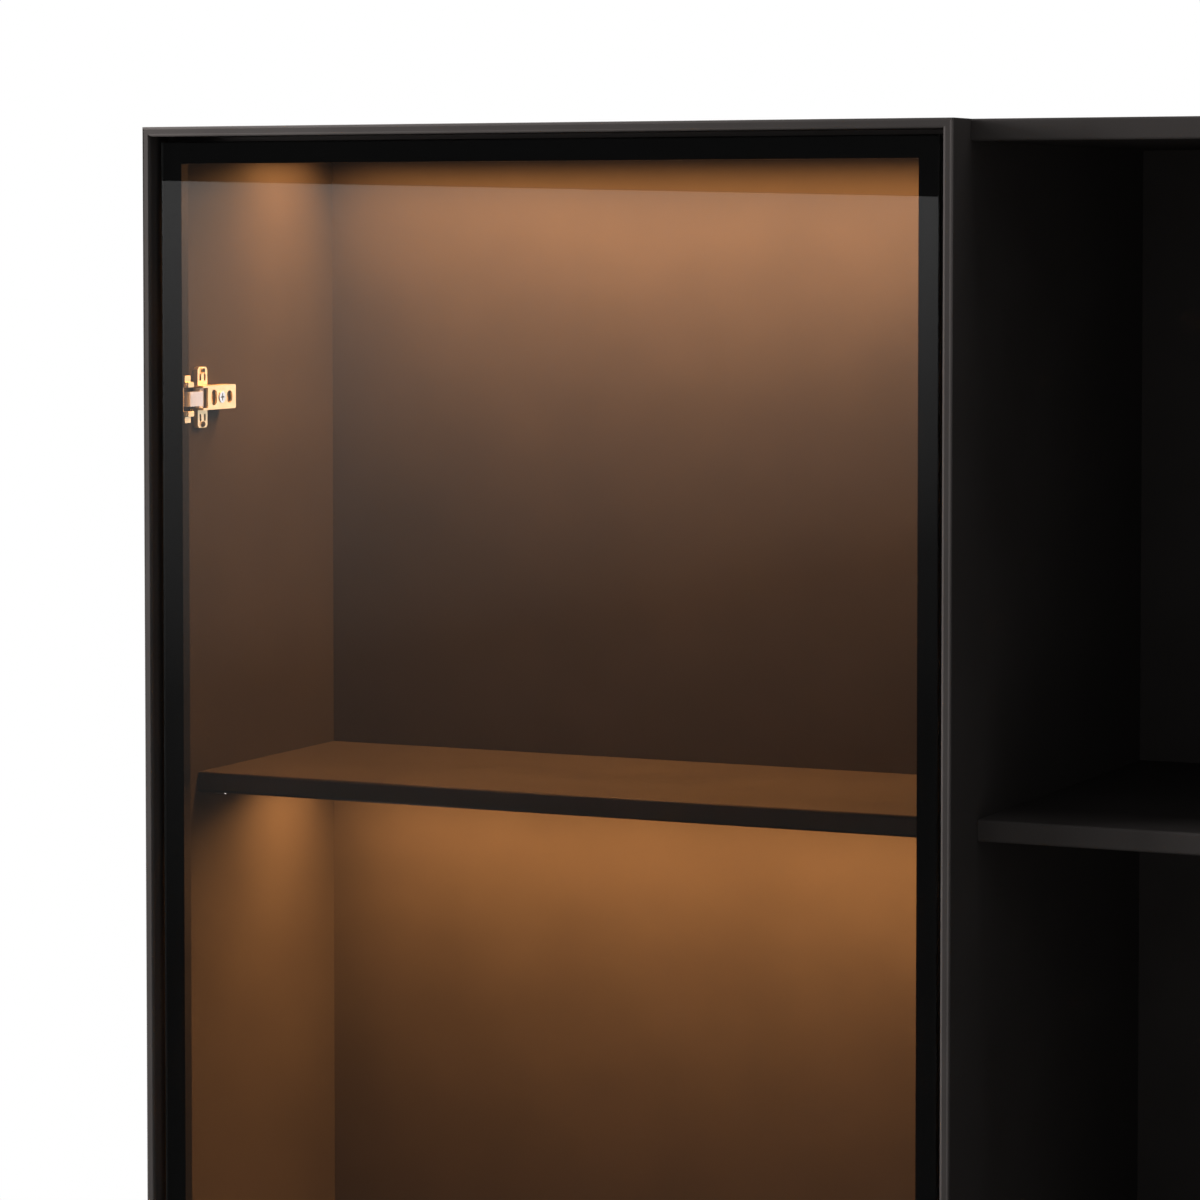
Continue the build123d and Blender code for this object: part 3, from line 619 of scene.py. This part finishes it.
def placed_hardware(name, tree, places, values, node):
    """Runs a tree on points at the places, and leaves a plain mesh that stands for the CAD node."""
    points = mesh_piece(name, places, [], finish_of[node])
    modifier = points.modifiers.new("hardware", "NODES")
    modifier.node_group = tree
    sockets = [item for item in tree.interface.items_tree if item.in_out == "INPUT"]
    inputs = {socket.name: socket.identifier for socket in sockets}
    for label, value in (values | {"Finish": finish_of[node]}).items():
        modifier[inputs[label]] = value
    bake(points)
    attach(points, body_of[node])
    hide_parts(node)
    return points


# %% [markdown]
# ## Cross-head screws
# Each screw has a low domed head with a cross recess, over a threaded shank. A fitter never lines
# the crosses up, so every screw is turned by its own chance angle.

# %% The screw's tree
SCREW_SIDES, SCREW_RINGS = 24, 4
DOME_START, DOME_TOP, SLOT_SHARE = -0.6, 0.8, 0.22


def screw_tree():
    """A screw whose head's top lies at z = 0, and whose shank hangs down from there."""
    sizes = ["Head Radius", "Head Height", "Cross Length", "Shank Radius", "Shank Length", "Pitch"]
    tree, given = geometry_tree("cross_head_screw", sizes)
    high, long_arm = given["Head Height"], given["Cross Length"]
    settings = {"Vertices": SCREW_SIDES, "Side Segments": SCREW_RINGS, "Depth": high}
    settings["Radius"] = given["Head Radius"]
    disc = add(tree, "GeometryNodeMeshCylinder", settings).outputs["Mesh"]
    lowered = moved(tree, disc, vector(tree, z=reckon(tree, "MULTIPLY", high, -0.5)))
    where = add(tree, "GeometryNodeInputPosition").outputs["Position"]
    height = add(tree, "ShaderNodeSeparateXYZ", {"Vector": where}).outputs["Z"]
    settings = {"Value": height, "From Min": reckon(tree, "MULTIPLY", high, DOME_START)}
    settings |= {"From Max": 0.0, "To Min": 1.0, "To Max": DOME_TOP}
    dome = add(tree, "ShaderNodeMapRange", settings, interpolation_type="SMOOTHERSTEP")
    narrow = dome.outputs["Result"]
    head = reshaped(tree, lowered, where, vector(tree, narrow, narrow, 1.0))
    recess = {"Mesh 1": head}
    recessed = add(tree, "GeometryNodeMeshBoolean", recess, operation="DIFFERENCE", solver="EXACT")
    short_arm = reckon(tree, "MULTIPLY", long_arm, SLOT_SHARE)
    for across, along in ((long_arm, short_arm), (short_arm, long_arm)):
        size = vector(tree, across, along, high)
        bar = add(tree, "GeometryNodeMeshCube", {"Size": size}).outputs["Mesh"]
        tree.links.new(bar, recessed.inputs["Mesh 2"])
    shank = threaded_rod(tree, given["Shank Radius"], given["Shank Length"], given["Pitch"])
    end_at_places(tree, given, [recessed.outputs["Mesh"], *shank], spin=True)
    return tree


screws = screw_tree()
print(screws.name, len(screws.nodes), "nodes")


# %% Screws in the back panels and under the hinges
def in_metres(sizes_mm):
    return {label: size * MM for label, size in sizes_mm.items()}


def centre(box):
    """The middle of a box, as a vector."""
    return (box[0] + box[1]) / 2


FLUSH = 0.05 * MM
BACK_HEAD = {"Head Radius": 3.5, "Head Height": 1.5, "Cross Length": 3.6}
BACK_SHANK = {"Shank Radius": 1.7, "Shank Length": 19.5, "Pitch": 1.6}
PLATE_HEAD = {"Head Radius": 2.35, "Head Height": 1.4, "Cross Length": 2.5}
PLATE_SHANK = {"Shank Radius": 1.35, "Shank Length": 18.0, "Pitch": 1.3}

places = [(centre(box).x, box[1].y - FLUSH, centre(box).z) for box in screw_boxes]
values = in_metres(BACK_HEAD | BACK_SHANK) | {"Outward": (0, 1, 0), "Seed": 11}
name = "back_panel_screws_cross_head"
piece = placed_hardware(name, screws, places, values, "back_panel_screws")
print(piece.name, len(places), "screws", len(piece.data.polygons), "faces")

for side, way in zip(SIDES, (1, -1)):
    places = []
    for box in islands("hinge_plate_screws"):
        if centre(box).x * way < 0:
            places.append((box[1].x if way > 0 else box[0].x, centre(box).y, centre(box).z))
    values = in_metres(PLATE_HEAD | PLATE_SHANK) | {"Outward": (way, 0, 0), "Seed": 23}
    name = f"{side}_hinge_plate_screws_cross_head"
    piece = placed_hardware(name, screws, places, values, "hinge_plate_screws")
    print(piece.name, len(places), "screws", len(piece.data.polygons), "faces")

# %% [markdown]
# ## Levelling feet
# Each foot is a moulded disc with finger grips round its rim, on a threaded steel stem that turns
# in a socket under the cabinet. The rim follows a rule: its radius dips at every grip, and it
# shrinks a little towards the top and bottom, which rounds its edges.

# %% Feet
FOOT_SIDES, FOOT_RINGS = 96, 6
RIM_START, RIM_SHRINK, STEM_CORE = 0.55, 0.07, 0.88


def foot_tree():
    """A foot whose stem's top lies at z = 0, with its pad at the bottom."""
    sizes = ["Pad Radius", "Pad Height", "Grips", "Grip Depth"]
    sizes += ["Stem Radius", "Stem Length", "Pitch"]
    tree, given = geometry_tree("levelling_foot", sizes)
    high = given["Pad Height"]
    settings = {"Vertices": FOOT_SIDES, "Side Segments": FOOT_RINGS, "Depth": high}
    settings["Radius"] = given["Pad Radius"]
    disc = add(tree, "GeometryNodeMeshCylinder", settings).outputs["Mesh"]
    where = add(tree, "GeometryNodeInputPosition").outputs["Position"]
    part = add(tree, "ShaderNodeSeparateXYZ", {"Vector": where}).outputs
    angle = reckon(tree, "ARCTAN2", part["Y"], part["X"])
    wave = reckon(tree, "COSINE", reckon(tree, "MULTIPLY", angle, given["Grips"]))
    grip = reckon(tree, "MULTIPLY", reckon(tree, "MAXIMUM", wave, 0.0), given["Grip Depth"])
    half = reckon(tree, "MULTIPLY", high, 0.5)
    settings = {"Value": reckon(tree, "ABSOLUTE", part["Z"]), "From Max": half}
    settings |= {"From Min": reckon(tree, "MULTIPLY", half, RIM_START)}
    settings |= {"To Min": 0.0, "To Max": RIM_SHRINK}
    rim = add(tree, "ShaderNodeMapRange", settings, interpolation_type="SMOOTHSTEP")
    share = reckon(tree, "SUBTRACT", reckon(tree, "SUBTRACT", 1.0, grip), rim.outputs["Result"])
    shaped = reshaped(tree, disc, where, vector(tree, share, share, 1.0))
    drop = reckon(tree, "SUBTRACT", reckon(tree, "MULTIPLY", half, -1.0), given["Stem Length"])
    pad = moved(tree, shaped, vector(tree, z=drop))
    stem = threaded_rod(tree, given["Stem Radius"], given["Stem Length"], given["Pitch"], STEM_CORE)
    end_at_places(tree, given, [pad, *stem], spin=False)
    return tree


PAD_MM = 7.0
FOOT = {"Pad Radius": 20.9, "Pad Height": PAD_MM, "Stem Radius": 4.95, "Pitch": 1.75}
foot_boxes = islands("levelling_feet")
places = [(centre(box).x, centre(box).y, box[1].z) for box in foot_boxes]
values = in_metres(FOOT) | {"Grips": 12.0, "Grip Depth": 0.05}
values |= {"Stem Length": foot_boxes[0][1].z - cad_low.z - PAD_MM * MM}
values |= {"Outward": (0, 0, 1), "Seed": 0}
name = "levelling_feet_gripped"
piece = placed_hardware(name, foot_tree(), places, values, "levelling_feet")
print(piece.name, len(places), "feet", len(piece.data.polygons), "faces")

# %% [markdown]
# ## Floor, backdrop and lights
# The cabinet stands on a plain pale floor that fades into a white backdrop. Its inside is lit by
# its own light panels. Outside, a soft lamp overhead lights the floor and the top, and a second
# one, in front and to the left, lights the front and the left side.

# %% Floor
FLOOR_RADIUS, FLOOR_STEPS, FADE_START, FADE_END = 4.0, 96, 2.2, 3.8


def pale_floor():
    """A pale matt floor that turns to plain white, as seen by the camera, towards its rim."""
    material, tree, where = blank("pale_studio_floor")
    speckle = pattern(tree, where, 3, 2.0)
    cloud = pattern(tree, where, 500, 2.0)
    settings = {"Base Color": shade(tree, cloud, "#dedcd8", "#e4e2de")}
    settings["Roughness"] = between(tree, speckle, 0.5, 0.62)
    matt = add(tree, "ShaderNodeBsdfPrincipled", settings).outputs["BSDF"]
    settings = {"Color": linear("#ffffff"), "Strength": 1.0}
    white = add(tree, "ShaderNodeEmission", settings).outputs["Emission"]
    away = add(tree, "ShaderNodeVectorMath", {0: where}, operation="LENGTH").outputs["Value"]
    settings = {"Value": away, "From Min": FADE_START, "From Max": FADE_END}
    fade = add(tree, "ShaderNodeMapRange", settings, interpolation_type="SMOOTHSTEP")
    seen = add(tree, "ShaderNodeLightPath").outputs["Is Camera Ray"]
    share = reckon(tree, "MULTIPLY", fade.outputs["Result"], seen)
    mix = add(tree, "ShaderNodeMixShader", {0: share, 1: matt, 2: white}).outputs["Shader"]
    add(tree, "ShaderNodeOutputMaterial", {"Surface": mix})
    return material


floor_points = []
for n in range(FLOOR_STEPS):
    turn = 2 * math.pi * n / FLOOR_STEPS
    floor_points.append((FLOOR_RADIUS * math.cos(turn), FLOOR_RADIUS * math.sin(turn), cad_low.z))
floor = mesh_piece("floor", floor_points, [tuple(range(FLOOR_STEPS))], pale_floor())
floor.visible_glossy = floor.visible_transmission = False
floor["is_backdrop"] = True
print("floor radius", FLOOR_RADIUS, "m")

# %% Backdrop and world light
# The backdrop is white to the camera, dimmer as a light, and nearly black in mirrors and glass.
WORLD_SEEN, WORLD_LIGHT, WORLD_MIRRORED = 1.0, 0.45, 0.07

world = bpy.data.worlds.new("studio")
world.use_nodes = True
sky = world.node_tree
sky.nodes.clear()
path = add(sky, "ShaderNodeLightPath").outputs
mirrored = reckon(sky, "MAXIMUM", path["Is Glossy Ray"], path["Is Transmission Ray"])
level = WORLD_LIGHT
for share, strength in ((mirrored, WORLD_MIRRORED), (path["Is Camera Ray"], WORLD_SEEN)):
    settings = {"Value": share, "To Min": level, "To Max": strength}
    level = add(sky, "ShaderNodeMapRange", settings).outputs["Result"]
background = add(sky, "ShaderNodeBackground", {"Color": linear("#ffffff"), "Strength": level})
add(sky, "ShaderNodeOutputWorld", {"Surface": background.outputs["Background"]})
bpy.context.scene.world = world
print("backdrop", WORLD_SEEN, "world light", WORLD_LIGHT)


# %% Studio lights
def area_light(name, place, target, size, watts, colour="#ffffff", beam=180):
    """A rectangular lamp at place that faces target. The camera doesn't see it."""
    data = bpy.data.lights.new(name, "AREA")
    data.shape = "RECTANGLE"
    data.size, data.size_y = size
    data.energy = watts
    data.color = linear(colour)[:3]
    data.spread = math.radians(beam)
    lamp = bpy.data.objects.new(name, data)
    lamp.location = place
    lamp.rotation_euler = (Vector(target) - Vector(place)).to_track_quat("-Z", "Y").to_euler()
    lamp.visible_camera = False
    bpy.context.scene.collection.objects.link(lamp)
    return lamp


OVERHEAD_PLACE, OVERHEAD_SIZE, OVERHEAD_WATTS = (0, 0.3, 4.2), (3.0, 2.0), 90
FRONT_PLACE, FRONT_AIM = (-4.83, -3.44, 3.6), (-1.0, -0.2, 1.2)
FRONT_SIZE, FRONT_WATTS = (1.6, 1.6), 90

middle = (cad_low + cad_high) / 2
overhead = area_light("overhead", OVERHEAD_PLACE, middle, OVERHEAD_SIZE, OVERHEAD_WATTS)
overhead.visible_glossy = overhead.visible_transmission = False
front = area_light("front", FRONT_PLACE, FRONT_AIM, FRONT_SIZE, FRONT_WATTS)
front.visible_transmission = False
print("studio lights:", overhead.name, front.name)

# %% [markdown]
# ## The card reflected in the glass
# A glass pane is only seen by what it mirrors. A tall upright card to the left, brightest along its
# top edge and fading towards the floor, lays a soft veil over the lower part of each pane.

# %% Reflection card
CARD_X, CARD_Y, CARD_TOP = -3.72, (-14.0, -3.6), 1.62
CARD_LEVELS = [(0.0, 0.07), (0.35, 0.15), (0.65, 0.42), (0.95, 0.8), (1.0, 0.84)]


def fading_card():
    """A glow that follows CARD_LEVELS, pairs of a share of the card's height and a grey."""
    material, tree, where = blank("fading_card")
    height = add(tree, "ShaderNodeSeparateXYZ", {"Vector": where}).outputs["Z"]
    settings = {"Value": height, "From Min": 0.0, "From Max": CARD_TOP}
    share = add(tree, "ShaderNodeMapRange", settings)
    ramp = add(tree, "ShaderNodeValToRGB", {"Fac": share.outputs["Result"]})
    ramp.color_ramp.elements.remove(ramp.color_ramp.elements[1])
    for n, (position, grey) in enumerate(CARD_LEVELS):
        stop = ramp.color_ramp.elements[0] if n == 0 else ramp.color_ramp.elements.new(position)
        stop.position, stop.color = position, (grey, grey, grey, 1)
    glow = add(tree, "ShaderNodeEmission", {"Color": ramp.outputs["Color"], "Strength": 1.0})
    add(tree, "ShaderNodeOutputMaterial", {"Surface": glow.outputs["Emission"]})
    return material


far, near = CARD_Y
card_corners = [(CARD_X, y, z) for y, z in ((far, 0), (near, 0), (near, CARD_TOP), (far, CARD_TOP))]
card = mesh_piece("reflection_card", card_corners, [(0, 1, 2, 3)], fading_card())
card.visible_camera = False
card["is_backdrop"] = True
print("card top", CARD_TOP, "m")

# %% [markdown]
# ## The cabinet's own lights
# Under the top and under each shelf of the glass boxes lies a panel of warm LEDs behind opal
# acrylic. The acrylic glows by its own material, and a slightly smaller lamp just below it does
# the lighting, because a path tracer finds a lamp more surely than a glowing mesh. The panel's
# frame keeps the light from spreading sideways, which draws the bright wedge on the side wall.

# %% Light panels
PANEL_WATTS, PANEL_BEAM, PANEL_DROP = 9.2, 165, 1.0 * MM
PANEL_DEEP, PANEL_ENDS = 92 * MM, 11 * MM
DOWN = Vector((0, 0, -1))

for number, (low, high) in enumerate(islands("led_diffusers")):
    place = Vector(((low.x + high.x) / 2, (low.y + high.y) / 2, low.z - PANEL_DROP))
    size = (high.x - low.x - 2 * PANEL_ENDS, PANEL_DEEP)
    name = f"light_panel_{number}"
    area_light(name, place, place + DOWN, size, PANEL_WATTS, WARM, PANEL_BEAM)
print(number + 1, "light panels of", PANEL_WATTS, "W")

# %% [markdown]
# ## Lamps for the edges and the bright hardware
# Two things need light of their own. The front edges of the boards are picked out by a soft lamp
# close to the top corner, and the hinges, the only bright things in a black box, show what stands
# in front of them, so each box has an upright strip lamp for them. Light linking gives each lamp
# its own pieces, so neither the floor nor the walls around a hinge receive it.

# %% Edge lamp and hardware lamps
def light_only(lamps, materials, name):
    """Links lamps to the pieces that have one of the materials."""
    group = bpy.data.collections.new(name)
    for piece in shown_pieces():
        if piece.data.materials[0] in materials:
            group.objects.link(piece)
    for lamp in lamps:
        lamp.light_linking.receiver_collection = group
        lamp.visible_transmission = False


EDGE_OUT, EDGE_AIM_Z = Vector((-1.25, -0.5, 0.15)), 1.3
EDGE_SIZE, EDGE_WATTS = (0.6, 0.6), 125

top_corner = Vector((cad_low.x, cad_low.y, cad_high.z))
edge_aim = (cad_low.x, cad_low.y, EDGE_AIM_Z)
edge = area_light("edge", top_corner + EDGE_OUT, edge_aim, EDGE_SIZE, EDGE_WATTS)
edge.visible_glossy = False
light_only([edge], (lacquer,), "lacquered_boards")

STRIP_SIZE, STRIP_WATTS = (0.15, 1.3), 1.0
STRIP_OUT, STRIP_FROM_BACK = 0.12, 0.03
strips = []
for side, way in zip(SIDES, (1, -1)):
    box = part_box(f"{side}_hinge_links")
    shelf_low, shelf_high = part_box(f"{side}_upper_shelf")
    hinge = Vector((centre(box).x, box[1].y, centre(box).z))
    place = (hinge.x + way * STRIP_OUT, shelf_high.y - STRIP_FROM_BACK, hinge.z)
    strip = area_light(f"{side}_hardware_strip", place, hinge, STRIP_SIZE, STRIP_WATTS)
    strips.append(strip)
light_only(strips, (nickel_plate, nickel_link, nickel_arm, zinc), "bright_hardware")
